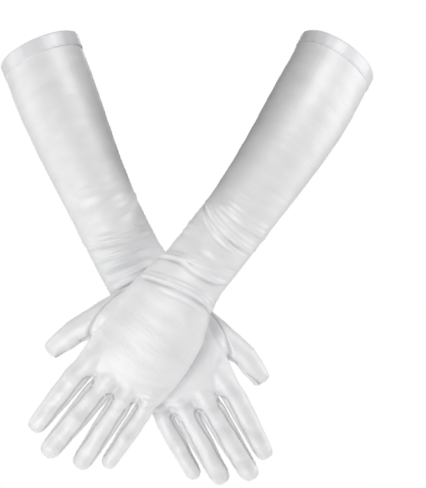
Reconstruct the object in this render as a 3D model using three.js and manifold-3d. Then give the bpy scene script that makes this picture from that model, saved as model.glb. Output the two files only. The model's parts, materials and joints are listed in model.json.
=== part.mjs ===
// A pair of elbow-length opera gloves in stretch satin, filled out as they are when worn and crossed
// at the wrists, with the left glove in front. Millimetres, +Z up, -Y towards the front.
// The origin is the middle of the left glove's open cuff, where the wearer's forearm holds it.
//
// Each glove is drawn once, as a left glove: thumb towards -X, back of the hand towards -Y, fingers
// down. The right glove is its mirror image. Every panel is a thin shell of its own, and the sewn
// edges are drawn as narrow gaps between the panels.
import * as THREE from 'three';
import { mergeVertices } from 'three/addons/utils/BufferGeometryUtils.js';
import Module from 'manifold-3d';

const wasm = await Module();
wasm.setup();

// ---- cloth ----
const FABRIC = 0.8; // the satin with its seam allowance
const SEAM_GAP = 0.4; // between the edges of two panels
const SATIN = { color: 0xf1f1f4, roughness: 0.42, metalness: 0 };

// ---- sleeve ----
const WRIST_HALF_WIDTH = 27;
const WRIST_HALF_DEPTH = 20;
const CUFF_HALF_WIDTH = 33.5;
const CUFF_HALF_DEPTH = 32;
const TAPER_FROM = 45; // the sleeve starts to widen this far above the wrist
const TAPER_TO = 185; // and has its full width from here
const HEM_DEPTH = 14;
const HEM_FABRIC = 2 * FABRIC; // the edge is turned in and sewn down, so it is double
const SLEEVE_RINGS = 9;
const SLEEVE_SIDES = 20;

// ---- hand: half widths and half depths at distances below the wrist ----
const HAND_SIDES = 24;
const PALM_SECTIONS = [
  { down: 0, middle: 0, halfWidth: WRIST_HALF_WIDTH, halfDepth: WRIST_HALF_DEPTH },
  { down: 16, middle: 0.5, halfWidth: 30.5, halfDepth: 18 },
  { down: 38, middle: 4.5, halfWidth: 37, halfDepth: 16 },
  { down: 62, middle: 7.5, halfWidth: 38.5, halfDepth: 14.5 },
  { down: 84, middle: 8.8, halfWidth: 38.4, halfDepth: 13 },
  { down: 100, middle: 9.3, halfWidth: 37.6, halfDepth: 11.5 },
  { down: 106, middle: 9.3, halfWidth: 36.6, halfDepth: 9.5 },
];
const KNUCKLE_SLANT = -0.16; // the finger roots climb towards the little finger
const STUB_INSIDE = 34; // how far a digit's root reaches into the hand
const ROOT_CLEARANCE = 0.5; // between the hand and a digit that turns

// ---- digits: root position below the wrist, splay towards the little finger, size of the free part ----
const DIGIT_SIDES = 16;
const CURL = 5; // how far a fingertip leans towards the palm
const DIGITS = [
  { name: 'index', across: -18.8, down: 120, length: 56, rootWidth: 19, tipWidth: 14.5, outer: ['ulnar'] },
  { name: 'middle', across: 2, down: 121.5, length: 63.5, rootWidth: 20, tipWidth: 16, outer: ['radial', 'ulnar'] },
  { name: 'ring', across: 22, down: 119, length: 57, rootWidth: 18.6, tipWidth: 15.5, outer: ['radial', 'ulnar'] },
  { name: 'little', across: 39, down: 109, length: 53, rootWidth: 15.4, tipWidth: 12.6, outer: ['radial'] },
];
const DIGIT_DEPTH_SHARE = 0.86; // a finger is a little flatter than it is wide
const TIP_SHARE = 0.16; // of a digit's length is its rounded end
const FOURCHETTE_ROOT = 12.5; // the strips between the fingers are this wide at the root
const FOURCHETTE_MARGIN = 2; // but leave at least this much depth of finger to the panel either side
const FOURCHETTE_TIP = 2.5; // and this wide where they run out
const FOURCHETTE_SHARE = 0.86; // of a finger's length

const THUMB = { across: -42, towardsPalm: 7, down: 96, length: 26, rootWidth: 19.5, tipWidth: 15 };
const THUMB_ROOT = { across: -20, towardsPalm: 5, down: 44, width: 27, depth: 20 };

// ---- how each glove is held ----
// lean is from the vertical in the plane of the pair, tilt is away from the front, in degrees. The
// sleeve leaves the wrist in line with the hand, and has bent towards the cuff within about bowReach.
const GLOVES = [
  {
    name: 'left',
    mirror: 1,
    wrist: [0, 0, 0],
    handLean: 39.8,
    sleeveLean: 33.7,
    sleeveTilt: 18,
    sleeveLength: 223,
    bowReach: 112,
    splay: { thumb: -12, index: 1, middle: 0.5, ring: 6.5, little: 6.5 },
  },
  {
    name: 'right',
    mirror: -1,
    wrist: [-42.5, 33.1, -5],
    handLean: 29.6,
    sleeveLean: 24.4,
    sleeveTilt: 12,
    sleeveLength: 210,
    bowReach: 84,
    splay: { thumb: -6, index: 1.5, middle: -1, ring: 1, little: 1.5 },
  },
];

const radians = THREE.MathUtils.degToRad;

// A closed solid from a three.js geometry.
function solidOf(geometry) {
  const bare = new THREE.BufferGeometry();
  bare.setAttribute('position', geometry.getAttribute('position'));
  bare.setIndex(geometry.index);
  const merged = mergeVertices(bare, 1e-4);
  const vertProperties = merged.attributes.position.array;
  const triVerts = new Uint32Array(merged.index.array);
  return new wasm.Manifold(new wasm.Mesh({ numProp: 3, vertProperties, triVerts }));
}

function meshOf(name, solid) {
  const made = solid.getMesh();
  const geometry = new THREE.BufferGeometry();
  geometry.setAttribute('position', new THREE.BufferAttribute(made.vertProperties, 3));
  geometry.setIndex(new THREE.BufferAttribute(made.triVerts, 1));
  const flat = geometry.toNonIndexed();
  flat.computeVertexNormals();
  const mesh = new THREE.Mesh(flat, new THREE.MeshStandardMaterial(SATIN));
  mesh.name = name;
  return mesh;
}

// A solid skinned over oval rings. A ring has its centre, its half width and half depth, and may have a
// turn (a quaternion) and a slant (its rise along -Z for each millimetre across).
function loft(rings, sides) {
  const geometry = new THREE.CylinderGeometry(1, 1, 1, sides, rings.length - 1);
  const place = geometry.getAttribute('position');
  const point = new THREE.Vector3();
  for (let i = 0; i < place.count; i++) {
    const ring = rings[Math.round((0.5 - place.getY(i)) * (rings.length - 1))];
    const across = place.getX(i) * ring.halfWidth;
    point.set(across, place.getZ(i) * ring.halfDepth, -(ring.slant ?? 0) * across);
    if (ring.turn) point.applyQuaternion(ring.turn);
    point.add(ring.centre);
    place.setXYZ(i, point.x, point.y, point.z);
  }
  const solid = solidOf(geometry);
  return solid.volume() < 0 ? flipped(geometry) : solid;
}

// The rings may run up or down, and a geometry that came out inside out is turned.
function flipped(geometry) {
  const index = geometry.index.array;
  for (let i = 0; i < index.length; i += 3) [index[i + 1], index[i + 2]] = [index[i + 2], index[i + 1]];
  return solidOf(geometry);
}

function box(x0, x1, y0, y1, z0, z1) {
  const geometry = new THREE.BoxGeometry(x1 - x0, y1 - y0, z1 - z0);
  geometry.translate((x0 + x1) / 2, (y0 + y1) / 2, (z0 + z1) / 2);
  return solidOf(geometry);
}

// The largest body of a solid: cuts through curved walls can leave slivers beside the panel.
function mainBody(solid) {
  return solid.decompose().reduce((best, body) => (body.volume() > best.volume() ? body : best));
}

const FAR = 400;
const BACK_HALF = box(-FAR, FAR, -FAR, -SEAM_GAP / 2, -FAR, FAR);
const PALM_HALF = box(-FAR, FAR, SEAM_GAP / 2, FAR, -FAR, FAR);

// ---- sleeve ----
function sleeveHalfSize(up) {
  const share = THREE.MathUtils.smoothstep(up, TAPER_FROM, TAPER_TO);
  return {
    halfWidth: THREE.MathUtils.lerp(WRIST_HALF_WIDTH, CUFF_HALF_WIDTH, share),
    halfDepth: THREE.MathUtils.lerp(WRIST_HALF_DEPTH, CUFF_HALF_DEPTH, share),
  };
}

function handTurn(glove) {
  return new THREE.Quaternion().setFromEuler(new THREE.Euler(0, radians(glove.handLean), 0));
}

function sleeveTurn(glove) {
  const lean = radians(glove.sleeveLean);
  return new THREE.Quaternion().setFromEuler(new THREE.Euler(-radians(glove.sleeveTilt), lean, 0, 'YXZ'));
}

// The line of the forearm, from the wrist to the middle of the cuff.
function forearm(glove) {
  const up = new THREE.Vector3(0, 0, 1);
  const cuff = up.clone().applyQuaternion(sleeveTurn(glove)).multiplyScalar(glove.sleeveLength);
  const bend = up.clone().applyQuaternion(handTurn(glove)).multiplyScalar(glove.bowReach);
  return new THREE.QuadraticBezierCurve3(new THREE.Vector3(), bend, cuff);
}

// The solid inside a stretch of the sleeve's outer face moved in by inset; past makes it longer at both ends.
function sleeveCore(glove, from, to, inset, past, count) {
  const line = forearm(glove);
  const length = line.getLength();
  const wrist = handTurn(glove);
  const cuff = sleeveTurn(glove);
  const rings = [];
  for (let i = 0; i < count; i++) {
    const up = THREE.MathUtils.lerp(from, to, i / (count - 1));
    const share = up / length;
    const turn = wrist.clone().slerp(cuff, THREE.MathUtils.smoothstep(share, 0, 0.7));
    const centre = line.getPointAt(share);
    const ends = i === 0 ? -past : i === count - 1 ? past : 0;
    centre.add(new THREE.Vector3(0, 0, ends).applyQuaternion(turn));
    const size = sleeveHalfSize(up);
    rings.push({ centre, turn, halfWidth: size.halfWidth - inset, halfDepth: size.halfDepth - inset });
  }
  return loft(rings, SLEEVE_SIDES);
}

function sleevePanels(glove) {
  const top = forearm(glove).getLength() - HEM_DEPTH - SEAM_GAP;
  const foot = ROOT_CLEARANCE;
  const outer = sleeveCore(glove, foot, top, 0, 0, SLEEVE_RINGS);
  const inner = sleeveCore(glove, foot, top, FABRIC, 1, SLEEVE_RINGS);
  const wall = outer.subtract(inner);
  const parting = sleevePartings(glove, foot, top);
  return { back: wall.intersect(parting.back), palm: wall.intersect(parting.palm) };
}

// The two side seams run along the middle of the depth, so each half is a solid that follows the forearm.
function sleevePartings(glove, from, to) {
  const line = forearm(glove);
  const length = line.getLength();
  const wrist = handTurn(glove);
  const cuff = sleeveTurn(glove);
  const slab = (near, far) => {
    const rings = [];
    for (let i = 0; i < SLEEVE_RINGS; i++) {
      const up = THREE.MathUtils.lerp(from, to, i / (SLEEVE_RINGS - 1));
      const share = up / length;
      const turn = wrist.clone().slerp(cuff, THREE.MathUtils.smoothstep(share, 0, 0.7));
      const ends = i === 0 ? -3 : i === SLEEVE_RINGS - 1 ? 3 : 0;
      const offset = new THREE.Vector3(0, (near + far) / 2, ends).applyQuaternion(turn);
      const centre = line.getPointAt(share).add(offset);
      rings.push({ centre, turn, halfWidth: 60, halfDepth: Math.abs(far - near) / 2 });
    }
    return slabOver(rings);
  };
  return { back: slab(-SEAM_GAP / 2, -60), palm: slab(SEAM_GAP / 2, 60) };
}

// A solid of square section skinned over rings.
function slabOver(rings) {
  const geometry = new THREE.BoxGeometry(2, 2, 1, 1, 1, rings.length - 1);
  const place = geometry.getAttribute('position');
  const point = new THREE.Vector3();
  for (let i = 0; i < place.count; i++) {
    const ring = rings[Math.round((place.getZ(i) + 0.5) * (rings.length - 1))];
    point.set(place.getX(i) * ring.halfWidth, place.getY(i) * ring.halfDepth, 0);
    point.applyQuaternion(ring.turn).add(ring.centre);
    place.setXYZ(i, point.x, point.y, point.z);
  }
  return solidOf(geometry);
}

function hemBand(glove) {
  const length = forearm(glove).getLength();
  const outer = sleeveCore(glove, length - HEM_DEPTH, length, FABRIC - HEM_FABRIC, 0, 3);
  const inner = sleeveCore(glove, length - HEM_DEPTH, length, FABRIC, 1, 3);
  return outer.subtract(inner);
}

// ---- digits, each in its own frame: root at the origin, free end down -Z ----
function digitCore(digit, inset, above) {
  const rings = [];
  const add = (down, halfWidth) => {
    const lean = CURL * (Math.max(down, 0) / digit.length) ** 2;
    const centre = new THREE.Vector3(0, lean, -down);
    const share = digit.depthShare ?? DIGIT_DEPTH_SHARE;
    rings.push({ centre, halfWidth: halfWidth - inset, halfDepth: halfWidth * share - inset });
  };
  const tip = digit.length * (1 - TIP_SHARE);
  const widthAt = (share) => THREE.MathUtils.lerp(digit.rootWidth, digit.tipWidth, share) / 2;
  add(-above, widthAt(0));
  for (const share of [0.25, 0.6, 1]) add(tip * share, widthAt(share));
  for (const angle of [40, 68, 84]) {
    const swell = Math.cos(radians(angle));
    add(tip + (digit.length - inset - tip) * Math.sin(radians(angle)), (digit.tipWidth / 2 - inset) * swell + inset);
  }
  return loft(rings, DIGIT_SIDES);
}

// The leaf-shaped outline of a fourchette, seen from the finger's side, as a cutter through one side.
function fourchetteCutter(digit, side, grow) {
  const end = digit.length * FOURCHETTE_SHARE;
  const mostWidth = digit.rootWidth * DIGIT_DEPTH_SHARE - 2 * FOURCHETTE_MARGIN;
  const root = Math.min(FOURCHETTE_ROOT, mostWidth) / 2 + grow;
  const tip = FOURCHETTE_TIP / 2 + grow;
  const leaf = new THREE.Shape();
  leaf.moveTo(-root, 5);
  leaf.lineTo(root, 5);
  leaf.lineTo(root, -end * 0.3);
  leaf.lineTo(tip, -end - grow);
  leaf.lineTo(-tip, -end - grow);
  leaf.lineTo(-root, -end * 0.3);
  const geometry = new THREE.ExtrudeGeometry(leaf, { depth: FAR, bevelEnabled: false });
  // The leaf is drawn across Y and Z, leans with the finger, and the cutter runs out to one side along X.
  const place = geometry.getAttribute('position');
  for (let i = 0; i < place.count; i++) {
    const down = place.getY(i);
    const lean = CURL * (Math.max(-down, 0) / digit.length) ** 2;
    place.setXYZ(i, side * place.getZ(i), place.getX(i) + lean, down);
  }
  const solid = solidOf(geometry);
  return solid.volume() < 0 ? flippedPlain(geometry) : solid;
}

function flippedPlain(geometry) {
  const merged = mergeVertices(new THREE.BufferGeometry().setAttribute('position', geometry.getAttribute('position')));
  return flipped(merged);
}

const SIDES = { radial: -1, ulnar: 1 };

function digitPanels(digit) {
  const wall = digitCore(digit, 0, 0).subtract(digitCore(digit, FABRIC, 1));
  const fourchettes = {};
  let rest = wall;
  for (const side of digit.outer ?? []) {
    fourchettes[side] = wall.intersect(fourchetteCutter(digit, SIDES[side], 0));
    rest = rest.subtract(fourchetteCutter(digit, SIDES[side], SEAM_GAP));
  }
  return { back: rest.intersect(leanHalf(digit, -1)), palm: rest.intersect(leanHalf(digit, 1)), fourchettes };
}

// One side of the digit's middle surface, which leans with the fingertip.
function leanHalf(digit, sign) {
  const rings = [];
  for (const down of [-5, 0, 0.25, 0.5, 0.75, 1, 1.2].map((share) => (share < 0 ? share : share * digit.length))) {
    const lean = CURL * (Math.max(down, 0) / digit.length) ** 2;
    const centre = new THREE.Vector3(0, lean + sign * (SEAM_GAP / 2 + 20), -down);
    rings.push({ centre, turn: new THREE.Quaternion(), halfWidth: 40, halfDepth: 20 });
  }
  return slabOver(rings.reverse());
}

// ---- hand ----
function palmCore(inset, above) {
  const rings = PALM_SECTIONS.map((section, i) => ({
    centre: new THREE.Vector3(section.middle, 0, -section.down + (i === 0 ? above : 0)),
    slant: i === 0 ? 0 : KNUCKLE_SLANT * (section.down / PALM_SECTIONS.at(-1).down) ** 3,
    halfWidth: section.halfWidth - inset,
    halfDepth: section.halfDepth - inset,
  }));
  return loft(rings, HAND_SIDES);
}

// The part of a digit's tube that belongs to the hand, from inside the hand to the root.
function rootStub(digit, splay, inset, below) {
  const lift = new THREE.Vector3(-Math.sin(radians(splay)), 0, Math.cos(radians(splay)));
  const turn = new THREE.Quaternion().setFromEuler(new THREE.Euler(0, -radians(splay), 0));
  const root = new THREE.Vector3(digit.across, digit.towardsPalm ?? 0, -digit.down);
  const share = digit.depthShare ?? DIGIT_DEPTH_SHARE;
  const ring = (up, grow) => ({
    centre: root.clone().addScaledVector(lift, up),
    turn,
    halfWidth: digit.rootWidth / 2 + grow - inset,
    halfDepth: (digit.rootWidth / 2) * share + grow - inset,
  });
  return loft([ring(STUB_INSIDE, 0), ring(STUB_INSIDE / 2, 0.6), ring(ROOT_CLEARANCE - below, 0)], DIGIT_SIDES);
}

// The ball of the thumb, from the heel of the hand to the root of the thumb's free part.
function thumbBall(splay, inset, below) {
  const turn = new THREE.Quaternion().setFromEuler(new THREE.Euler(0, -radians(splay), 0));
  const end = new THREE.Vector3(THUMB.across, THUMB.towardsPalm, -THUMB.down);
  const down = new THREE.Vector3(0, 0, -1).applyQuaternion(turn);
  const start = new THREE.Vector3(THUMB_ROOT.across, THUMB_ROOT.towardsPalm, -THUMB_ROOT.down);
  const rings = [
    { centre: start, turn, halfWidth: THUMB_ROOT.width / 2 - inset, halfDepth: THUMB_ROOT.depth / 2 - inset },
    {
      centre: start.clone().lerp(end, 0.5),
      turn,
      halfWidth: 12.4 - inset,
      halfDepth: 11 - inset,
    },
    {
      centre: end.clone().addScaledVector(down, below - ROOT_CLEARANCE),
      turn,
      halfWidth: THUMB.rootWidth / 2 - inset,
      halfDepth: (THUMB.rootWidth / 2) * DIGIT_DEPTH_SHARE - inset,
    },
  ];
  return loft(rings, DIGIT_SIDES);
}

function handPanels(glove) {
  let outer = palmCore(0, 0).add(thumbBall(glove.splay.thumb, 0, 0));
  let inner = palmCore(FABRIC, 1).add(thumbBall(glove.splay.thumb, FABRIC, 1));
  for (const digit of DIGITS) {
    outer = outer.add(rootStub(digit, glove.splay[digit.name], 0, 0));
    inner = inner.add(rootStub(digit, glove.splay[digit.name], FABRIC, 1));
  }
  const wall = outer.subtract(inner);
  return { back: mainBody(wall.intersect(BACK_HALF)), palm: mainBody(wall.intersect(PALM_HALF)) };
}

// ---- assembly ----
function addDigit(hand, glove, digit, splay) {
  const frame = new THREE.Group();
  frame.position.set(digit.across, digit.towardsPalm ?? 0, -digit.down);
  frame.rotation.y = -radians(splay);
  const panels = digitPanels(digit);
  frame.add(meshOf(`${glove.name}_${digit.name}_back`, panels.back));
  frame.add(meshOf(`${glove.name}_${digit.name}_palm`, panels.palm));
  for (const [side, solid] of Object.entries(panels.fourchettes)) {
    frame.add(meshOf(`${glove.name}_${digit.name}_fourchette_${side}`, solid));
  }
  frame.name = `${glove.name}_${digit.name}_root`;
  hand.add(frame);
}

function buildGlove(glove) {
  const whole = new THREE.Group();
  whole.position.set(...glove.wrist);
  whole.scale.x = glove.mirror;

  const sleeve = sleevePanels(glove);
  whole.add(meshOf(`${glove.name}_sleeve_back`, sleeve.back));
  whole.add(meshOf(`${glove.name}_sleeve_palm`, sleeve.palm));
  whole.add(meshOf(`${glove.name}_hem_band`, hemBand(glove)));

  const hand = new THREE.Group();
  hand.quaternion.copy(handTurn(glove));
  const panels = handPanels(glove);
  hand.add(meshOf(`${glove.name}_hand_back`, panels.back));
  hand.add(meshOf(`${glove.name}_hand_palm`, panels.palm));
  for (const digit of DIGITS) addDigit(hand, glove, digit, glove.splay[digit.name]);
  addDigit(hand, glove, { name: 'thumb', ...THUMB }, glove.splay.thumb);
  hand.name = `${glove.name}_wrist`;
  whole.add(hand);
  return whole;
}

const pair = new THREE.Group();
pair.position.copy(forearm(GLOVES[0]).getPointAt(1)).negate();
for (const glove of GLOVES) pair.add(buildGlove(glove));

export default pair;
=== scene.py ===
import json
import math
import random

import bmesh
import bpy
import numpy as np
from mathutils import Euler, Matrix, Quaternion, Vector, noise


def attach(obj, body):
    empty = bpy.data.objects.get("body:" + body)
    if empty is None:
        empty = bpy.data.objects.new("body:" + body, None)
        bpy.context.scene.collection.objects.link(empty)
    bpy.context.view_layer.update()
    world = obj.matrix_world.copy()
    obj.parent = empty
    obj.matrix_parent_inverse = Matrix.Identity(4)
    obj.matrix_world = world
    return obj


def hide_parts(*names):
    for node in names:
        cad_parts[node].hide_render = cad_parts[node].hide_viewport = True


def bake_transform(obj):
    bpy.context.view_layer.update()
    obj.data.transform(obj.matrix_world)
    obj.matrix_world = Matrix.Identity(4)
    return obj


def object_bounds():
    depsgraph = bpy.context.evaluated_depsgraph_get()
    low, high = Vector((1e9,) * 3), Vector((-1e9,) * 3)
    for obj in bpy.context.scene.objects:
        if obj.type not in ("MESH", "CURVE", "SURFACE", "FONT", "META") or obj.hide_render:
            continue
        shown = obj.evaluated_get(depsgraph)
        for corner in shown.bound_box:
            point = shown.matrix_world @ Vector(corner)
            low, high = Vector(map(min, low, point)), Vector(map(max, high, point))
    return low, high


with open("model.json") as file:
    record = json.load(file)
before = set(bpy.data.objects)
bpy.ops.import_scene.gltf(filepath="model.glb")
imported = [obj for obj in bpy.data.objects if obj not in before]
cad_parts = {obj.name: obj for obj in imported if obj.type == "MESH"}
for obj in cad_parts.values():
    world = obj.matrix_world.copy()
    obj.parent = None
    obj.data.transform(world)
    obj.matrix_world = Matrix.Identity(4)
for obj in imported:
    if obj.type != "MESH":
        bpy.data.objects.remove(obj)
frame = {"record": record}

cad_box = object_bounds()

# ---------------------------------------------------------------------------------------------
# Camera. It looks level along +Y at the crossed wrists from a metre and a half away, with a
# long lens, so that the gloves are drawn almost without perspective.
# ---------------------------------------------------------------------------------------------
# each hand turns about a line on its wrist's surface: the left one's back, the right one's palm side
HALF_WRIST = Vector((0, 0.020, 0))
joints = {j["name"]: j for j in frame["record"]["behaviour"]["joints"]}
left_wrist = Vector(joints["left_wrist"]["pos_m"]) + HALF_WRIST
right_wrist = Vector(joints["right_wrist"]["pos_m"]) - HALF_WRIST

camera_data = bpy.data.cameras.new("camera")
camera_data.sensor_fit = "VERTICAL"
camera_data.sensor_height = 36
camera_data.lens = 140.96
camera = bpy.data.objects.new("camera", camera_data)
camera.location = left_wrist + Vector((0.0157, -1.5, 0.0228))
camera.rotation_euler = (math.radians(90), 0, 0)
bpy.context.scene.collection.objects.link(camera)
bpy.context.scene.camera = camera

# ---------------------------------------------------------------------------------------------
# The glove's shape. A glove is cut and sewn straight, so its shape is made straight first: wrist
# at the origin, fingers down -Z, sleeve up +Z, back of the hand at -Y, thumb at -X, millimetres.
# It is filled out by an arm and hand that are left out.
# ---------------------------------------------------------------------------------------------
WRIST_WIDTH, WRIST_DEPTH = 27, 20
CUFF_WIDTH, CUFF_DEPTH = 33.5, 32
PALM_RINGS = [
    (0, 0, 27, 20),
    (16, 0.5, 30.5, 18),
    (38, 4.5, 37, 16),
    (62, 7.5, 38.5, 14.5),
    (84, 8.8, 38.4, 12.4),
    (100, 9.3, 37.6, 10.1),
    (106, 9.3, 36.6, 8.4),
]
FINGERS = {
    "index": dict(across=-18.8, down=120, length=56, root=19, tip=14.5, legs=(1,)),
    "middle": dict(across=2, down=121.5, length=63.5, root=20, tip=16, legs=(-1, 1)),
    "ring": dict(across=22, down=119, length=57, root=18.6, tip=15.5, legs=(-1, 1)),
    "little": dict(across=39, down=109, length=53, root=15.4, tip=12.6, legs=(-1,)),
}
THUMB = dict(across=-42, down=96, length=26, root=19.5, tip=15, legs=())
GLOVES = {
    "left": dict(
        mirror=1, wrist=left_wrist, hand_lean=39.8, sleeve_lean=33.7, tilt=18, sleeve=223, bow=112,
        splay=dict(thumb=-12, index=1, middle=0.5, ring=6.5, little=6.5),
    ),
    "right": dict(
        mirror=-1, wrist=right_wrist, hand_lean=29.6, sleeve_lean=24.4, tilt=12, sleeve=210, bow=84,
        splay=dict(thumb=-6, index=1.5, middle=-1, ring=1, little=1.5),
    ),
}
# The fingers are laid out this many degrees wider and this much slimmer than they are worn, so that
# each is clear of the next right up to the crotch, and filled and closed up when the glove is put on.
SPREAD = dict(thumb=0, index=-7.5, middle=-2.5, ring=2.5, little=7.5)
SLIM = 0.9
# a digit is straight for this share of its length, then rounds off to its tip
STRAIGHT = 0.86
# its depth for its width
FLATNESS = 0.86
# the thumb lies this far to the palm side of the hand
THUMB_DROP = 7


def laid_out(splay):
    """The splay of each digit on the glove as it is laid out."""
    return {key: angle + SPREAD[key] for key, angle in splay.items()}


def swept_tube(name, rings, sides=28):
    """A closed tube grown ring by ring: (x, y, z, half width, half depth)."""
    bpy.ops.object.select_all(action="DESELECT")
    bpy.ops.mesh.primitive_circle_add(vertices=sides, radius=1, fill_type="NGON", location=(0, 0, 0))
    tube = bpy.context.object
    bpy.ops.object.mode_set(mode="EDIT")
    bpy.ops.mesh.select_all(action="SELECT")
    bpy.ops.transform.resize(value=(rings[0][3], rings[0][4], 1), center_override=(0, 0, 0))
    bpy.ops.transform.translate(value=rings[0][:3])
    for last, ring in zip(rings, rings[1:]):
        step = [b - a for a, b in zip(last[:3], ring[:3])]
        bpy.ops.mesh.extrude_region_move(TRANSFORM_OT_translate={"value": step})
        grow = (ring[3] / last[3], ring[4] / last[4], 1)
        bpy.ops.transform.resize(value=grow, center_override=ring[:3])
    bpy.ops.mesh.select_all(action="SELECT")
    bpy.ops.mesh.normals_make_consistent(inside=False)
    bpy.ops.object.mode_set(mode="OBJECT")
    tube.name = name
    return tube


def digit_rings(cut, slim=0):
    """From the finger's root to its squared-off tip, in the finger's own frame."""
    rings = []
    straight = cut["length"] * STRAIGHT
    for share in (0, 0.2, 0.45, 0.7, 1):
        half = (cut["root"] + (cut["tip"] - cut["root"]) * share) / 2
        # the knuckle inside fills the cloth a little
        half += 0.35 * math.exp(-(((share - 0.47) / 0.12) ** 2))
        rings.append((0, 0, -straight * share, half - slim * (1 - share), half * FLATNESS))
    for angle in (30, 55, 74, 86):
        swell = math.cos(math.radians(angle)) ** 0.54
        half = cut["tip"] / 2 * swell
        down = straight + (cut["length"] - straight) * math.sin(math.radians(angle))
        rings.append((0, 0, -down, half, half * FLATNESS))
    return rings


def placed(tube, across, towards_palm, down, splay):
    """Turns a tube to its splay and sets its root on the hand."""
    tube.rotation_euler = (0, -math.radians(splay), 0)
    tube.location = (across, towards_palm, -down)
    bpy.ops.object.transform_apply(location=True, rotation=True, scale=True)
    return tube


def finger_tube(cut, splay):
    """A finger with a stub that runs back into the hand and fills it at the knuckle."""
    half = cut["root"] / 2
    deep = half * FLATNESS
    stub = [
        (0, 0, 34, half, deep),
        (0, 0, 17, half + 0.6, deep + 1.7),
        (0, 0, 6, half - SLIM * 0.6, deep + 0.8),
    ]
    return placed(swept_tube("finger", stub + digit_rings(cut, SLIM)), cut["across"], 0, cut["down"], splay)


def thumb_tube(splay):
    """The ball of the thumb and the thumb, which leaves the palm side of the hand."""
    turn = math.radians(splay)
    rings = []
    for x, y, z, half, deep in ((-20, 5, -44, 13.5, 10), (-31, 6, -70, 12.4, 11)):
        dx, dz = x - THUMB["across"], z + THUMB["down"]
        local_x = dx * math.cos(turn) + dz * math.sin(turn)
        local_z = -dx * math.sin(turn) + dz * math.cos(turn)
        rings.append((local_x, y - THUMB_DROP, local_z, half, deep))
    tube = swept_tube("thumb", rings + digit_rings(THUMB))
    return placed(tube, THUMB["across"], THUMB_DROP, THUMB["down"], splay)


def sleeve_half(z):
    """Half width and half depth of the sleeve at heights above the wrist."""
    t = np.clip((np.asarray(z, float) - 45) / 140, 0, 1)
    t = t * t * (3 - 2 * t)
    return WRIST_WIDTH + (CUFF_WIDTH - WRIST_WIDTH) * t, WRIST_DEPTH + (CUFF_DEPTH - WRIST_DEPTH) * t


BODY_SIDES = 40


def palm_tube():
    rings = [(mid, 0, -down, half, deep) for down, mid, half, deep in PALM_RINGS]
    tube = swept_tube("palm", rings, BODY_SIDES)
    for v in tube.data.vertices:
        # the finger roots climb towards the little finger
        v.co.z += 0.16 * (-v.co.z / PALM_RINGS[-1][0]) ** 3 * v.co.x if v.co.z < 0 else 0
    return tube


def sleeve_tube(length):
    rings = []
    for i in range(20):
        z = -2 + (length + 6) * i / 19
        width, depth = sleeve_half(z)
        rings.append((0, 0, z, float(width), float(depth)))
    return swept_tube("sleeve", rings, BODY_SIDES)


# ---------------------------------------------------------------------------------------------
# How a straight glove is worn: the hand leans, and the sleeve follows the forearm, which bends
# away from the hand's line towards the elbow and back from the front.
# ---------------------------------------------------------------------------------------------
def forearm(glove):
    """Stations along the forearm: distances, centres and turns, in millimetres from the wrist."""
    hand = Euler((0, math.radians(glove["hand_lean"]), 0)).to_quaternion()
    lean = Quaternion((0, 1, 0), math.radians(glove["sleeve_lean"]))
    cuff = lean @ Quaternion((1, 0, 0), -math.radians(glove["tilt"]))
    bend = hand @ Vector((0, 0, glove["bow"]))
    end = cuff @ Vector((0, 0, glove["sleeve"]))
    t = np.linspace(0, 1, 401)[:, None]
    line = 2 * t * (1 - t) * np.array(bend) + t * t * np.array(end)
    run = np.concatenate([[0], np.cumsum(np.linalg.norm(np.diff(line, axis=0), axis=1))])
    turns = []
    for r in run / run[-1]:
        s = min(max(r / 0.7, 0), 1)
        turns.append(np.array(hand.slerp(cuff, s * s * (3 - 2 * s)).to_matrix()))
    return run, line, np.array(turns)


def worn(points, glove):
    """Straight millimetre points to their worn place, in metres in the frame."""
    run, line, turns = forearm(glove)
    up = np.clip(points[:, 2], 0, run[-1])
    beyond = points[:, 2] - up
    index = np.clip(np.searchsorted(run, up) - 1, 0, len(run) - 2)
    share = ((up - run[index]) / (run[index + 1] - run[index]))[:, None]
    centre = line[index] * (1 - share) + line[index + 1] * share
    turn = turns[index] * (1 - share[..., None]) + turns[index + 1] * share[..., None]
    local = np.stack([points[:, 0], points[:, 1], beyond], axis=1)
    out = centre + np.einsum("nij,nj->ni", turn, local)
    out[:, 0] *= glove["mirror"]
    return out * 0.001 + np.array(glove["wrist"])


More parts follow.
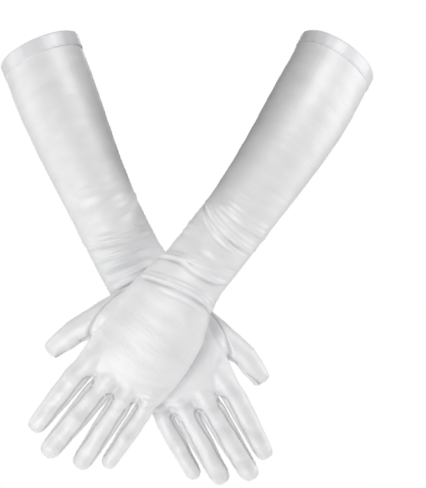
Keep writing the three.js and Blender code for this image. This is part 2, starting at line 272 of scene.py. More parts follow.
# ---------------------------------------------------------------------------------------------
# The satin: one stretch cloth. It is drawn tight over the hand and forearm and gathers into
# crosswise folds where the wrist bends. Heights are along the glove, angles run round it from the
# middle of the back towards the little finger, both as the cloth lies on a straight glove.
# ---------------------------------------------------------------------------------------------
FOLDS = {
    "left": [
        ([(-88, 53), (-55, 47), (-20, 42), (10, 40), (60, 42), (88, 45)], 0.95, 1.7),
        ([(-70, 47), (-40, 38), (0, 33), (50, 34), (80, 37)], 0.5, 1.5),
        ([(-45, 55), (10, 54), (45, 56), (84, 60)], 0.7, 1.9),
        ([(-100, -8), (-30, 3), (10, 4), (45, 8), (88, 15)], 0.9, 1.5),
        ([(-60, -2), (0, 10), (40, 14), (86, 20)], 0.55, 1.6),
        ([(-20, 20), (30, 24), (80, 29)], 0.4, 2.4),
        ([(-75, -27), (-35, -20), (0, -13), (35, -10), (60, -11), (98, -14)], 1.05, 1.5),
        ([(-30, -25), (20, -17), (80, -18)], 0.35, 1.4),
        ([(0, 79), (30, 82), (80, 86)], 0.35, 2.6),
        ([(-85, 70), (-20, 67), (20, 70)], 0.25, 2.8),
        ([(12, -107), (45, -100), (78, -90)], 0.4, 1.9),
        ([(0, -94), (75, -72)], 0.22, 3.0),
    ],
    "right": [
        ([(-80, 57), (0, 56)], 0.4, 3.0),
        ([(-60, 30), (-15, 33), (30, 40), (80, 44)], 0.8, 1.9),
        ([(-50, 21), (20, 27), (75, 31)], 0.65, 1.6),
        ([(-45, 11), (-10, 16), (20, 19), (75, 18)], 0.95, 1.6),
        ([(-40, 5), (30, 9), (82, 12)], 0.7, 1.5),
        ([(-50, -1), (-5, 2), (70, 3)], 0.6, 1.5),
        ([(-85, 75), (-10, 72), (60, 78)], 0.2, 3.2),
        ([(5, -104), (35, -99), (82, -90)], 0.5, 2.2),
        ([(-10, -86), (30, -78), (75, -66)], 0.4, 4.2),
        ([(-70, -76), (-45, -84), (-20, -96)], 0.3, 3.0),
    ],
}
FOLD_DEPTH = {"left": 2.4, "right": 2.8}


def smooth_step(x, low, high):
    t = np.clip((x - low) / (high - low), 0, 1)
    return t * t * (3 - 2 * t)


def around(co):
    """Angle round the glove in degrees: 0 on the back, 90 at the little finger's side."""
    width, depth = sleeve_half(co[:, 2])
    down = -np.minimum(co[:, 2], 0)
    rings = np.array(PALM_RINGS, float)
    mid = np.interp(down, rings[:, 0], rings[:, 1])
    width = np.where(down > 0, np.interp(down, rings[:, 0], rings[:, 2]), width)
    depth = np.where(down > 0, np.interp(down, rings[:, 0], rings[:, 3]), depth)
    return np.degrees(np.arctan2((co[:, 0] - mid) / width, -co[:, 1] / depth))


def fold_height(co, angle, points, height, width):
    """A soft swell with two fine crests on it and a valley on its finger side, dying out at both ends."""
    angles = [p[0] for p in points]
    at = (angles[0] + angles[-1]) / 2
    turned = (angle - at + 180) % 360 - 180 + at
    heights = [p[1] for p in points]
    line = sum(np.interp(turned + d, angles, heights) for d in (-14, -7, 0, 7, 14)) / 5
    s = co[:, 2] - line
    ends = smooth_step(turned, angles[0] - 4, angles[0] + 30)
    ends = ends * (1 - smooth_step(turned, angles[-1] - 34, angles[-1] + 4))
    ends = ends * (0.78 + 0.22 * np.sin(turned * 0.075 + height * 40))
    swell = 0.6 * np.exp(-((s / (1.9 * width)) ** 2))
    crest = 0.6 * np.exp(-((s / (0.68 * width)) ** 2))
    second = 0.42 * np.exp(-(((s - 2.3 * width) / (0.68 * width)) ** 2))
    valley = 0.6 * np.exp(-(((s + 2.1 * width) / (0.95 * width)) ** 2))
    return height * ends * (swell + crest + second - valley)


def gathered(co, name):
    """Every fold of one glove: those on the back by place, and looser ones all round the wrist."""
    angle = around(co)
    total = np.zeros(len(co))
    for points, height, width in FOLDS[name]:
        total += fold_height(co, angle, points, height, width)
    chance = random.Random(11 if name == "left" else 23)
    for i in range(13):
        at = chance.uniform(105, 255)
        span = chance.uniform(30, 60)
        z = -18 + 76 * i / 12 + chance.uniform(-2, 2)
        slope = chance.uniform(-6, 6)
        points = [(at - span, z - slope), (at, z), (at + span, z + slope)]
        total += fold_height(co, angle, points, chance.uniform(0.2, 0.42), chance.uniform(1.8, 2.8))
    for i in range(16):
        at = chance.uniform(-180, 180)
        span = chance.uniform(25, 55)
        z = 70 + 130 * i / 15
        points = [(at - span, z), (at, z + chance.uniform(-3, 3)), (at + span, z)]
        total += fold_height(co, angle, points, chance.uniform(0.03, 0.08), chance.uniform(3, 5))
    return total


# ---------------------------------------------------------------------------------------------
# The pieces as they are cut: back and palm panels, a set-in thumb, four fingers in two halves, and
# the narrow fourchette legs between them. The seams are sewn inside out, so outside they show as
# sunk lines with the cloth puffed slightly either side.
# ---------------------------------------------------------------------------------------------
def finger_frame(cut, splay, co):
    """How far down a finger and across it points lie."""
    turn = math.radians(splay)
    dx, dz = co[:, 0] - cut["across"], co[:, 2] + cut["down"]
    across = dx * math.cos(turn) + dz * math.sin(turn)
    down = dx * math.sin(turn) - dz * math.cos(turn)
    return down, across


def nearest_finger(co, splay):
    """Which finger's line each point is nearest to, counted from that finger's own side."""
    outside = []
    for key, cut in FINGERS.items():
        down, across = finger_frame(cut, splay[key], co)
        outside.append(np.abs(across) - cut["root"] / 2)
    return np.array(list(FINGERS))[np.argmin(outside, axis=0)], np.min(outside, axis=0)


LEG_ROOT, LEG_TIP = 6.25, 1.9


def leg_half(cut, down):
    """Half width of a fourchette leg, a long leaf that ends short of the fingertip."""
    share = np.clip(down / (cut["length"] * STRAIGHT), 0, 1)
    root = min(LEG_ROOT, cut["root"] * FLATNESS / 2 - 2)
    return root + (LEG_TIP - root) * share**1.25


def cut_mesh(bm, point, normal, keep):
    """Cuts the wanted faces along a plane."""
    centres = np.array([f.calc_center_median() for f in bm.faces])
    faces = [f for f, wanted in zip(bm.faces, keep(centres)) if wanted]
    edges = {e for f in faces for e in f.edges}
    verts = {v for f in faces for v in f.verts}
    geom = faces + list(edges) + list(verts)
    bmesh.ops.bisect_plane(bm, geom=geom, dist=0.02, plane_co=point, plane_no=normal)


THUMB_SEAM = [((-31, 0, -90), (-0.746, 0.657, -0.11)), ((-31, 0, -90), (-0.95, 0, 0.3))]


def thumb_side(co):
    """Positive on the set-in thumb, counted from its seam."""
    near = np.full(len(co), 1e9)
    for point, normal in THUMB_SEAM:
        n = np.array(normal) / np.linalg.norm(normal)
        near = np.minimum(near, (co - np.array(point)) @ n)
    return np.where(co[:, 2] > -28, -np.abs(near) - 5, near)


def on_finger(cut, splay):
    """A test for faces that lie on one finger."""

    def test(c):
        down, across = finger_frame(cut, splay, c)
        return (down > -9) & (np.abs(across) < cut["root"] / 2 + 1.6)

    return test


def cut_out(form, splay):
    """Cuts the form along its seams and at the roots, so that every seam has points on it."""
    bm = bmesh.new()
    bm.from_mesh(form.data)
    cut_mesh(bm, (0, 0, 0), (0, 1, 0), lambda c: c[:, 2] < 1e9)
    for key, cut in FINGERS.items():
        turn = math.radians(splay[key])
        down = Vector((math.sin(turn), 0, -math.cos(turn)))
        root = Vector((cut["across"], 0, -cut["down"]))
        mine = on_finger(cut, splay[key])
        cut_mesh(bm, root - down * 2.5, down, mine)
        for leg in (-1, 1):
            if leg in cut["legs"]:
                half = float(leg_half(cut, 0))
                narrows = (half - LEG_TIP) / (cut["length"] * STRAIGHT)
                for edge in (-1, 1):
                    slope = Vector((0, edge, 0)) + down * narrows
                    cut_mesh(bm, root + Vector((0, half * edge, 0)), slope, mine)
    for point, normal in THUMB_SEAM:
        cut_mesh(bm, point, normal, lambda c: (c[:, 0] < -8) & (c[:, 2] > -100) & (c[:, 2] < -28))
    along = (0, THUMB_DROP, 0)
    cut_mesh(bm, along, (0, 1, 0), lambda c: (c[:, 0] < -24) & (c[:, 2] > -130) & (c[:, 2] < -40))
    bm.to_mesh(form.data)
    bm.free()


def crumpled(co, splay):
    """The small creases of worn satin: pinched ridges on the digits and the wrist, few elsewhere."""
    broad = np.array([noise.noise(Vector((x * 0.05 + 9, y * 0.05, z * 0.11))) for x, y, z in co])
    slant = [(x * 0.045 + z * 0.035, y * 0.06, z * 0.05 - x * 0.035) for x, y, z in co]
    pinch = np.array([abs(noise.noise(Vector(at))) for at in slant])
    fine = np.array([noise.noise(Vector((x * 0.2, y * 0.2 + 5, z * 0.42))) for x, y, z in co])
    digit = smooth_step(-co[:, 2], 98, 122)
    digit = np.maximum(digit, smooth_step(thumb_side(co), 2, 10) * 0.9)
    wrist = np.exp(-(((co[:, 2] - 18) / 34) ** 2))
    # the sides of the fingers, next to one another, stay smooth
    front = 0.25 + 0.75 * smooth_step(np.abs(co[:, 1]), 3, 7)
    front = np.where(digit > 0.02, front, 1)
    total = (0.3 + 0.1 * wrist) * broad
    total += (0.15 + 1.6 * digit + 0.2 * wrist) * (0.16 - pinch)
    total += (0.03 + 0.07 * digit + 0.04 * wrist) * fine
    total *= front
    finger, outside = nearest_finger(co, splay)
    for key, cut in FINGERS.items():
        # the tip is gathered a little where its seams meet
        down, across = finger_frame(cut, splay[key], co)
        near = (down > cut["length"] * 0.78) & (finger == key) & (outside < 2)
        about = np.arctan2(co[:, 1], across)
        towards_tip = smooth_step(down, cut["length"] * 0.78, cut["length"] * 0.95)
        total += np.where(near, 0.16 * np.sin(8 * about + cut["length"]) * towards_tip, 0)
    return total


def seam_relief(co, splay):
    """Depth of the seams: sunk at the stitch line, puffed and slightly puckered beside it."""
    far = np.full(len(co), 50.0)
    finger_of = np.full(len(co), -1)
    finger, outside = nearest_finger(co, splay)
    for i, (key, cut) in enumerate(FINGERS.items()):
        down, across = finger_frame(cut, splay[key], co)
        mine = (down > -3) & (finger == key) & (outside < 1.6)
        finger_of[mine] = i
        side = np.sign(across)
        end = cut["length"] * STRAIGHT
        leafy = np.isin(side, cut["legs"]) & (down < end)
        sides = np.abs(np.abs(co[:, 1]) - leg_half(cut, down))
        near = np.where(leafy, sides, np.abs(co[:, 1]))
        on_side = (np.abs(across) > cut["root"] * 0.2) | (down > end)
        far = np.where(mine & on_side, np.minimum(far, near), far)
    # each pair of fourchette legs is one strip, so its seam turns round the crotch on the hand
    keys = list(FINGERS)
    for a, b in zip(keys, keys[1:]):
        first, second = FINGERS[a], FINGERS[b]
        x = (first["across"] + first["root"] / 2 + second["across"] - second["root"] / 2) / 2
        z = -(first["down"] + second["down"]) / 2 + 3.5
        reach = np.hypot(co[:, 0] - x, co[:, 2] - z)
        turn_back = (co[:, 2] > z) & (np.abs(co[:, 1]) > 3) & (reach < 7)
        far = np.where(turn_back, np.minimum(far, np.abs(reach - 3.0)), far)
    thumb = thumb_side(co)
    plain = (finger_of < 0) & (thumb < 0)
    sides = (np.abs(np.abs(around(co)) - 90) < 45) & plain
    far = np.where(sides, np.minimum(far, np.abs(co[:, 1])), far)
    on_ball = (co[:, 0] < -8) & (co[:, 2] < -30) & (co[:, 2] > -98) & (finger_of < 0)
    far = np.where(on_ball, np.minimum(far, np.abs(thumb)), far)
    far = np.where(thumb > 2, np.minimum(far, np.abs(co[:, 1] - THUMB_DROP)), far)
    pucker = 0.6 + 0.4 * np.sin(co[:, 2] * 1.5 + co[:, 0] * 0.9)
    sunk = -1.0 * np.exp(-((far / 0.85) ** 2))
    puffed = 0.32 * np.exp(-(((far - 2.2) / 1.0) ** 2)) * pucker
    return sunk + puffed


VOXEL = 1.02


def sew_shape(name, glove):
    """The whole glove as one skin, still straight: its mesh, cut along the seams and at the finger roots.
    """
    run, _, _ = forearm(glove)
    splay = laid_out(glove["splay"])
    tubes = [sleeve_tube(run[-1]), palm_tube(), thumb_tube(splay["thumb"])]
    tubes += [finger_tube(cut, splay[key]) for key, cut in FINGERS.items()]
    bpy.ops.object.select_all(action="DESELECT")
    for tube in tubes:
        tube.select_set(True)
    bpy.context.view_layer.objects.active = tubes[0]
    bpy.ops.object.join()
    form = bpy.context.object
    form.name = name + "_form"
    remesh = form.modifiers.new("one_skin", "REMESH")
    remesh.mode = "VOXEL"
    remesh.voxel_size = VOXEL
    bpy.ops.object.modifier_apply(modifier=remesh.name)
    melt = form.modifiers.new("melt", "SMOOTH")
    melt.factor = 0.5
    melt.iterations = 18
    bpy.ops.object.modifier_apply(modifier=melt.name)
    fill = form.modifiers.new("fill", "DISPLACE")
    fill.strength = 0.3
    fill.mid_level = 0
    bpy.ops.object.modifier_apply(modifier=fill.name)
    cut_out(form, splay)
    bm = bmesh.new()
    bm.from_mesh(form.data)
    # the tube's closed end is cut off a millimetre below the hem's edge
    geom = bm.verts[:] + bm.edges[:] + bm.faces[:]
    end = (0, 0, run[-1] - 1)
    bmesh.ops.bisect_plane(bm, geom=geom, plane_co=end, plane_no=(0, 0, 1), clear_outer=True)
    bm.normal_update()
    bm.to_mesh(form.data)
    bm.free()
    return form, run[-1]


def skin_arrays(form):
    """The skin's points, normals and faces."""
    mesh = form.data
    co = np.empty(len(mesh.vertices) * 3)
    mesh.vertices.foreach_get("co", co)
    normals = np.empty(len(mesh.vertices) * 3)
    mesh.vertices.foreach_get("normal", normals)
    faces = [tuple(p.vertices) for p in mesh.polygons]
    return co.reshape(-1, 3), normals.reshape(-1, 3), faces


def put_on(co, laid):
    """Fills the laid-out fingers, closes them up and leans their tips a little to the palm."""
    out = co.copy()
    finger, outside = nearest_finger(co, laid)
    for key, cut in dict(FINGERS, thumb=THUMB).items():
        down, across = finger_frame(cut, laid[key], co)
        share = np.clip(down / (cut["length"] * STRAIGHT), 0, 1)
        if key == "thumb":
            mine = (thumb_side(co) > 0) & (down > -7)
        else:
            mine = (down > -8) & (finger == key) & (outside < 2.4)
            half = (cut["root"] + (cut["tip"] - cut["root"]) * share) / 2
            slim = SLIM * (1 - share) * smooth_step(down, -8, 3)
            across = across * half / (half - slim)
        turn = np.radians(laid[key] - SPREAD[key] * smooth_step(down, -8, 8))
        x = cut["across"] + down * np.sin(turn) + across * np.cos(turn)
        z = -cut["down"] - down * np.cos(turn) + across * np.sin(turn)
        out[:, 0] = np.where(mine, x, out[:, 0])
        out[:, 2] = np.where(mine, z, out[:, 2])
        lean = 5 * np.clip(down / cut["length"], 0, 1.1) ** 2
        out[:, 1] += np.where(mine, lean, 0)
    return out


def piece_of(centres, splay):
    """Which cut piece each face of the skin belongs to."""
    names = np.full(len(centres), "hand_back", dtype=object)
    names[centres[:, 1] > 0] = "hand_palm"
    finger, outside = nearest_finger(centres, splay)
    for key, cut in FINGERS.items():
        down, across = finger_frame(cut, splay[key], centres)
        mine = (down > -2.5) & (finger == key) & (outside < 1.8)
        half = leg_half(cut, down)
        names[mine & (centres[:, 1] <= 0)] = key + "_back"
        names[mine & (centres[:, 1] > 0)] = key + "_palm"
        for leg in cut["legs"]:
            leafy = mine & (np.sign(across) == leg) & (np.abs(centres[:, 1]) < half)
            leafy &= (down < cut["length"] * STRAIGHT) & (np.abs(across) > cut["root"] * 0.22)
            names[leafy] = key + ("_fourchette_radial" if leg < 0 else "_fourchette_ulnar")
    thumb = thumb_side(centres) > 0
    thumb &= (centres[:, 2] < -30) & (centres[:, 0] < -8) & np.isin(names, ("hand_back", "hand_palm"))
    names[thumb & (centres[:, 1] <= THUMB_DROP)] = "thumb_back"
    names[thumb & (centres[:, 1] > THUMB_DROP)] = "thumb_palm"
    return names


# ---------------------------------------------------------------------------------------------
# Satin finish: bright white stretch satin with a fine ribbed weave, small crosswise ripples where
# it is stretched, a soft sheen, and painted shade in its sunk seams and fold valleys. The pattern lies on
# the cloth as it was cut.
# ---------------------------------------------------------------------------------------------
def weave_group():
    """Fine ribs and ripples as a height, slow changes of tone and gloss, and painted shade that darkens the
    colour in the sunk seams and fold valleys.
    """
    group = bpy.data.node_groups.new("satin_weave", "ShaderNodeTree")
    group.interface.new_socket("Cloth", in_out="INPUT", socket_type="NodeSocketVector")
    group.interface.new_socket("Tone", in_out="INPUT", socket_type="NodeSocketColor")
    group.interface.new_socket("Gloss", in_out="INPUT", socket_type="NodeSocketFloat")
    group.interface.new_socket("Ripple", in_out="INPUT", socket_type="NodeSocketFloat")
    group.interface.new_socket("Painted Shade", in_out="INPUT", socket_type="NodeSocketFloat")
    group.interface.new_socket("Color", in_out="OUTPUT", socket_type="NodeSocketColor")
    group.interface.new_socket("Roughness", in_out="OUTPUT", socket_type="NodeSocketFloat")
    group.interface.new_socket("Normal", in_out="OUTPUT", socket_type="NodeSocketVector")
    nodes, links = group.nodes, group.links
    inputs = nodes.new("NodeGroupInput")
    outputs = nodes.new("NodeGroupOutput")

    def mottle(scale, stretch, detail):
        spread = nodes.new("ShaderNodeMapping")
        spread.inputs["Scale"].default_value = stretch
        links.new(inputs.outputs["Cloth"], spread.inputs["Vector"])
        texture = nodes.new("ShaderNodeTexNoise")
        texture.inputs["Scale"].default_value = scale
        texture.inputs["Detail"].default_value = detail
        links.new(spread.outputs["Vector"], texture.inputs["Vector"])
        return texture.outputs["Fac"]

    def sum_of(a, b, factor):
        node = nodes.new("ShaderNodeMath")
        node.operation = "MULTIPLY_ADD"
        links.new(a, node.inputs[0])
        node.inputs[1].default_value = factor
        if b is None:
            node.inputs[2].default_value = 0
        else:
            links.new(b, node.inputs[2])
        return node.outputs[0]

    ripple = mottle(160, (0.35, 0.35, 3.2), 3)
    rib = nodes.new("ShaderNodeTexWave")
    rib.bands_direction = "Z"
    rib.inputs["Scale"].default_value = 420
    rib.inputs["Distortion"].default_value = 2.5
    links.new(inputs.outputs["Cloth"], rib.inputs["Vector"])
    grain = mottle(1100, (1, 1, 1.5), 2)
    height = sum_of(grain, sum_of(rib.outputs["Fac"], None, 0.1), 0.35)
    lift = nodes.new("ShaderNodeMath")
    lift.operation = "MULTIPLY_ADD"
    links.new(ripple, lift.inputs[0])
    links.new(inputs.outputs["Ripple"], lift.inputs[1])
    links.new(height, lift.inputs[2])
    bump = nodes.new("ShaderNodeBump")
    bump.inputs["Strength"].default_value = 0.5
    bump.inputs["Distance"].default_value = 0.0006
    links.new(lift.outputs[0], bump.inputs["Height"])
    links.new(bump.outputs["Normal"], outputs.inputs["Normal"])
    patch = mottle(45, (1, 1, 1.6), 4)
    shade = nodes.new("ShaderNodeMapRange")
    shade.inputs["From Min"].default_value = 0.3
    shade.inputs["From Max"].default_value = 0.7
    shade.inputs["To Min"].default_value = 0.95
    shade.inputs["To Max"].default_value = 1.0
    links.new(patch, shade.inputs["Value"])
    # painted shade: the colour is darkened by up to 0.3 along the sunk seams and in the fold valleys, on
    # top of the random tone
    deep = sum_of(inputs.outputs["Painted Shade"], shade.outputs["Result"], -0.3)
    tone = nodes.new("ShaderNodeVectorMath")
    tone.operation = "SCALE"
    links.new(inputs.outputs["Tone"], tone.inputs[0])
    links.new(deep, tone.inputs["Scale"])
    links.new(tone.outputs["Vector"], outputs.inputs["Color"])
    vary = sum_of(patch, inputs.outputs["Gloss"], 0.12)
    links.new(vary, outputs.inputs["Roughness"])
    return group


WEAVE = weave_group()


def satin(name, tone, gloss, ripple):
    """A satin with its own tone, roughness and depth of ripple."""
    material = bpy.data.materials.new(name)
    material.use_nodes = True
    nodes, links = material.node_tree.nodes, material.node_tree.links
    shader = nodes["Principled BSDF"]
    shader.inputs["Metallic"].default_value = 0.23
    shader.inputs["Sheen Weight"].default_value = 0.05
    shader.inputs["Sheen Roughness"].default_value = 0.4
    shader.inputs["Specular IOR Level"].default_value = 0.3
    laid = nodes.new("ShaderNodeAttribute")
    laid.attribute_name = "laid"
    weave = nodes.new("ShaderNodeGroup")
    weave.node_tree = WEAVE
    weave.inputs["Tone"].default_value = (*tone, 1)
    weave.inputs["Gloss"].default_value = gloss
    weave.inputs["Ripple"].default_value = ripple
    links.new(laid.outputs["Vector"], weave.inputs["Cloth"])
    # painted shade for the sunk seams and fold valleys, stored on the cloth
    painted_shade = nodes.new("ShaderNodeAttribute")
    painted_shade.attribute_name = "painted_shade"
    links.new(painted_shade.outputs["Fac"], weave.inputs["Painted Shade"])
    links.new(weave.outputs["Color"], shader.inputs["Base Color"])
    links.new(weave.outputs["Roughness"], shader.inputs["Roughness"])
    links.new(weave.outputs["Normal"], shader.inputs["Normal"])
    return material


satin_cloth = satin("satin_cloth", (0.885, 0.885, 0.895), 0.45, 0.5)
hem_cloth = satin("hem_cloth", (0.87, 0.87, 0.885), 0.4, 0.35)
thread = satin("thread", (0.84, 0.84, 0.85), 0.5, 0.2)

# ---------------------------------------------------------------------------------------------
# Panels: thin satin shells cut from the skin along the seams. The hand panels run unbroken from
# the hem to the fingers; the finger pieces start at the knuckle.
# ---------------------------------------------------------------------------------------------
CLOTH = 0.55


def shell(name, co, normals, laid, painted_shade, faces, material):
    """A closed shell of cloth: the outer skin, the skin inside it, and the cut edge."""
    used = sorted({i for f in faces for i in f})
    at = {v: i for i, v in enumerate(used)}
    n = len(used)
    outer = co[used]
    inner = outer - normals[used] * CLOTH * 0.001
    edges = {}
    for f in faces:
        for a, b in zip(f, f[1:] + f[:1]):
            edges[(a, b)] = edges.get((a, b), 0) + 1
    rim = [(a, b) for a, b in edges if (b, a) not in edges]
    skin = [tuple(at[i] for i in f) for f in faces]
    back = [tuple(at[i] + n for i in reversed(f)) for f in faces]
    sides = [(at[b], at[a], at[a] + n, at[b] + n) for a, b in rim]
    mesh = bpy.data.meshes.new(name)
    mesh.from_pydata(np.vstack([outer, inner]).tolist(), [], skin + back + sides)
    mesh.polygons.foreach_set("use_smooth", [True] * len(mesh.polygons))
    layer = mesh.attributes.new("laid", "FLOAT_VECTOR", "POINT")
    layer.data.foreach_set("vector", np.vstack([laid[used], laid[used]]).ravel() * 0.001)
    # the painted shade of the seams and fold valleys, the same on both skins
    layer = mesh.attributes.new("painted_shade", "FLOAT", "POINT")
    layer.data.foreach_set("value", np.concatenate([painted_shade[used], painted_shade[used]]))
    mesh.materials.append(material)
    both = np.vstack([normals[used], -normals[used]])
    mesh.normals_split_custom_set_from_vertices(both.tolist())
    panel = bpy.data.objects.new(name, mesh)
    bpy.context.scene.collection.objects.link(panel)
    return panel


def blend_points(glove, cut, splay, start, end):
    """Two points on a finger's line, in the frame."""
    turn = math.radians(splay)
    down = np.array([math.sin(turn), 0, -math.cos(turn)])
    root = np.array([cut["across"], 0, -cut["down"]])
    pair = worn(np.array([root + down * start, root + down * end]), glove)
    return [tuple(p) for p in pair]


PANEL_NODES = {"hand_back": ["sleeve_back", "hand_back"], "hand_palm": ["sleeve_palm", "hand_palm"]}
# the two end points worked out for each panel lie this far along the hand and the forearm at the wrist,
# and over these stretches of a finger and a thumb
WRIST_BEND = 34
FINGER_BEND = (-2, 22)
THUMB_BEND = (-6, 16)
# where the gloves cross, the rear one is pressed back this far, over this radius, in metres
PRESSED, PRESSED_OVER = 0.0015, 0.07

for side, glove in GLOVES.items():
    splay = glove["splay"]
    laid = laid_out(splay)
    form, top = sew_shape(side, glove)
    co, normals, faces = skin_arrays(form)
    folds = FOLD_DEPTH[side] * gathered(co, side) + crumpled(co, laid)
    seams = seam_relief(co, laid)
    shaped = put_on(co + normals * (folds + seams)[:, None], laid)
    # painted shade: the cloth's colour is darkened along the sunk seams and in the fold valleys
    painted_shade = np.clip(-seams / 0.9, 0, 1) * 0.8 + np.clip(-folds / 1.2, 0, 1) * 0.6
    in_place = worn(shaped, glove)
    if side == "right":
        crossing = (left_wrist + right_wrist) / 2
        away = np.hypot(in_place[:, 0] - crossing.x, in_place[:, 2] - crossing.z)
        in_place[:, 1] += PRESSED * np.exp(-((away / PRESSED_OVER) ** 2))
    if glove["mirror"] < 0:
        faces = [tuple(reversed(f)) for f in faces]
    mesh = bpy.data.meshes.new("skin")
    mesh.from_pydata(in_place.tolist(), [], faces)
    vertex_normals = np.empty(len(in_place) * 3)
    mesh.vertices.foreach_get("normal", vertex_normals)
    vertex_normals = vertex_normals.reshape(-1, 3)
    centres = np.array([co[list(f)].mean(axis=0) for f in faces])
    belongs = piece_of(centres, laid)
    for part in sorted(set(belongs)):
        mine = [f for f, b in zip(faces, belongs) if b == part]
        panel = shell(f"{side}_{part}_cloth", in_place, vertex_normals, co, painted_shade, mine, satin_cloth)
        key = part.split("_")[0]
        if key == "hand":
            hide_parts(*[f"{side}_{n}" for n in PANEL_NODES[part]])
            ends = worn(np.array([[0, 0, WRIST_BEND], [0, 0, -WRIST_BEND]]), glove)
            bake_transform(panel)
        else:
            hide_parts(f"{side}_{part}")
            cut = THUMB if key == "thumb" else FINGERS[key]
            span = THUMB_BEND if key == "thumb" else FINGER_BEND
            ends = blend_points(glove, cut, splay[key], *span)
            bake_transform(panel)
    bpy.data.objects.remove(form)

# ---------------------------------------------------------------------------------------------
# Hems: the sleeve's edge turned in and sewn down, so the band is double, a little proud, and
# rolled at the top, with one row of straight stitches along its lower edge.
# ---------------------------------------------------------------------------------------------
HEM_PROFILE = [
    (0.0, -13.9), (0.42, -13.7), (0.68, -12.8), (0.5, -11.4), (0.66, -9), (0.7, -5), (0.82, -1.8),
    (0.72, -0.7), (0.35, -0.1), (-0.2, 0.05), (-0.75, -0.3), (-1.0, -1.4), (-1.0, -6), (-1.0, -13.6),
]
HEM_SIDES = 200
STITCHES = 62
STITCH_HEIGHT = -12.1
# across a stitch's thread, and how it dips into the cloth at both ends
STITCH_SECTION = ((0, -0.22), (0.2, 0), (0, 0.22), (-0.2, 0))
STITCH_LIFT = (0.72, 0.98, 0.98, 0.72)


def hem_point(angle, out, z, top):
    """A point on the band, out from the sleeve's surface."""
    width, depth = sleeve_half(top + z)
    ripple = 0.12 * math.sin(9 * angle + 1) + 0.08 * math.sin(23 * angle)
    r = out + (ripple if z < -10 or z > -3 else ripple * 0.4)
    nx, ny = math.sin(angle) / float(width), -math.cos(angle) / float(depth)
    size = math.hypot(nx, ny)
    x = float(width) * math.sin(angle) + r * nx / size
    y = -float(depth) * math.cos(angle) + r * ny / size
    return (x, y, top + z)


for side, glove in GLOVES.items():
    top = forearm(glove)[0][-1]
    points = []
    for i in range(HEM_SIDES):
        for out, z in HEM_PROFILE:
            points.append(hem_point(2 * math.pi * i / HEM_SIDES, out + 0.25, z, top))
    points = np.array(points)
    ring = len(HEM_PROFILE)
    faces = []
    for i in range(HEM_SIDES):
        j = (i + 1) % HEM_SIDES
        for k in range(ring):
            m = (k + 1) % ring
            faces.append((i * ring + k, i * ring + m, j * ring + m, j * ring + k))
    mesh = bpy.data.meshes.new(side + "_hem")
    mesh.from_pydata(worn(points, glove).tolist(), [], faces)
    layer = mesh.attributes.new("laid", "FLOAT_VECTOR", "POINT")
    layer.data.foreach_set("vector", (points * 0.001).ravel())
    mesh.materials.append(hem_cloth)
    bm = bmesh.new()
    bm.from_mesh(mesh)
    bmesh.ops.recalc_face_normals(bm, faces=bm.faces)
    bm.to_mesh(mesh)
    bm.free()
    mesh.polygons.foreach_set("use_smooth", [True] * len(mesh.polygons))
    hem = bpy.data.objects.new(side + "_hem_turned", mesh)
    bpy.context.scene.collection.objects.link(hem)
    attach(hem, side + "_sleeve")
    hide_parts(side + "_hem_band")

    # the stitches: short raised thread lengths with gaps between, all one piece
    bm = bmesh.new()
    lengths = []
    for i in range(STITCHES):
        start = 2 * math.pi * (i + 0.15) / STITCHES
        straight = []
        for k, lift in enumerate(STITCH_LIFT):
            angle = start + 2 * math.pi * 0.62 / STITCHES * k / 3
            for dr, dz in STITCH_SECTION:
                straight.append(hem_point(angle, lift + dr, STITCH_HEIGHT + dz, top))
        lengths += straight
        verts = [bm.verts.new(p) for p in worn(np.array(straight), glove)]
        for k in range(3):
            for q in range(4):
                a, b = k * 4 + q, k * 4 + (q + 1) % 4
                bm.faces.new((verts[a], verts[b], verts[b + 4], verts[a + 4]))
        bm.faces.new(verts[0:4])
        bm.faces.new(verts[12:16])
    bmesh.ops.recalc_face_normals(bm, faces=bm.faces)
    mesh = bpy.data.meshes.new(side + "_stitches")
    bm.to_mesh(mesh)
    bm.free()
    layer = mesh.attributes.new("laid", "FLOAT_VECTOR", "POINT")
    layer.data.foreach_set("vector", (np.array(lengths) * 0.001).ravel())
    mesh.materials.append(thread)
    mesh.polygons.foreach_set("use_smooth", [True] * len(mesh.polygons))
    row = bpy.data.objects.new(side + "_hem_stitches", mesh)
    bpy.context.scene.collection.objects.link(row)
    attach(row, side + "_sleeve")

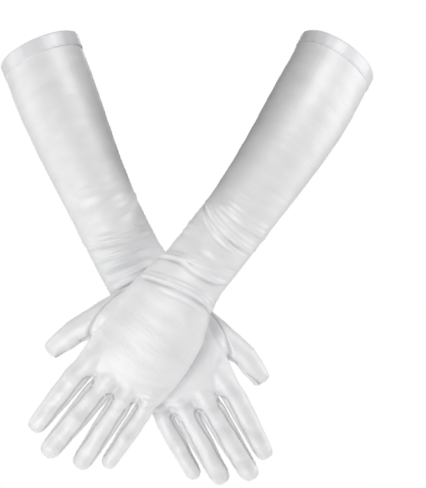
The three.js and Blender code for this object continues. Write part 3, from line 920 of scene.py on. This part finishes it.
# ---------------------------------------------------------------------------------------------
# Studio: a white room of light, a pale floor far below, a large soft light at each side, smaller
# ones above, in front and behind, and a grey card between the sleeves that shades the inner side
# of the left one.
# ---------------------------------------------------------------------------------------------
world = bpy.data.worlds.new("studio")
bpy.context.scene.world = world
world.use_nodes = True
nodes, links = world.node_tree.nodes, world.node_tree.links
room = nodes["Background"]
room.inputs["Color"].default_value = (1, 1, 1, 1)
room.inputs["Strength"].default_value = 0.37
white = nodes.new("ShaderNodeBackground")
white.inputs["Color"].default_value = (1, 1, 1, 1)
white.inputs["Strength"].default_value = 1.0
path = nodes.new("ShaderNodeLightPath")
mix = nodes.new("ShaderNodeMixShader")
links.new(path.outputs["Is Camera Ray"], mix.inputs[0])
links.new(room.outputs[0], mix.inputs[1])
links.new(white.outputs[0], mix.inputs[2])
links.new(mix.outputs[0], nodes["World Output"].inputs["Surface"])

middle = [(a + b) / 2 for a, b in zip(*cad_box)]


def soft_light(name, place, size, power):
    """A soft light that faces the middle of the gloves."""
    data = bpy.data.lights.new(name, "AREA")
    data.shape = "RECTANGLE"
    data.size, data.size_y = size
    data.energy = power
    light = bpy.data.objects.new(name, data)
    light.location = Vector(middle) + Vector(place)
    light.rotation_euler = (-Vector(place)).to_track_quat("-Z", "Y").to_euler()
    bpy.context.scene.collection.objects.link(light)


soft_light("left_softbox", (-1.1, -0.1, 0.2), (0.6, 1.0), 3)
soft_light("right_softbox", (1.1, 0.05, 0.2), (0.6, 1.0), 4)
soft_light("top_light", (0.42, -0.65, 1.05), (0.5, 0.35), 5)
soft_light("front_fill", (-0.6, -1.35, -0.5), (0.4, 0.4), 6.4)
soft_light("back_fill", (0, 1.5, 0.4), (0.8, 0.8), 6)

# the card is seen by the gloves only
bpy.ops.mesh.primitive_plane_add(size=1, location=(middle[0] + 0.022, middle[1] + 0.02, middle[2] + 0.145))
card = bpy.context.object
card.name = "card"
card.rotation_euler = (0, math.radians(121), 0)
card.scale = (0.2, 0.26, 1)
card.visible_camera = False
grey = bpy.data.materials.new("grey_card")
grey.use_nodes = True
matt = grey.node_tree.nodes["Principled BSDF"]
matt.inputs["Base Color"].default_value = (0.2, 0.2, 0.2, 1)
matt.inputs["Roughness"].default_value = 1
card.data.materials.append(grey)

bpy.ops.object.select_all(action="DESELECT")
bpy.ops.mesh.primitive_plane_add(size=4, location=(middle[0], middle[1], cad_box[0][2] - 0.6))
floor = bpy.context.object
floor.name = "floor"
pale = bpy.data.materials.new("pale_floor")
pale.use_nodes = True
painted = pale.node_tree.nodes["Principled BSDF"]
painted.inputs["Base Color"].default_value = (0.95, 0.95, 0.95, 1)
painted.inputs["Emission Color"].default_value = (1, 1, 1, 1)
painted.inputs["Emission Strength"].default_value = 0.15
painted.inputs["Roughness"].default_value = 0.9
floor.data.materials.append(pale)

bpy.context.scene.view_settings.view_transform = "Standard"
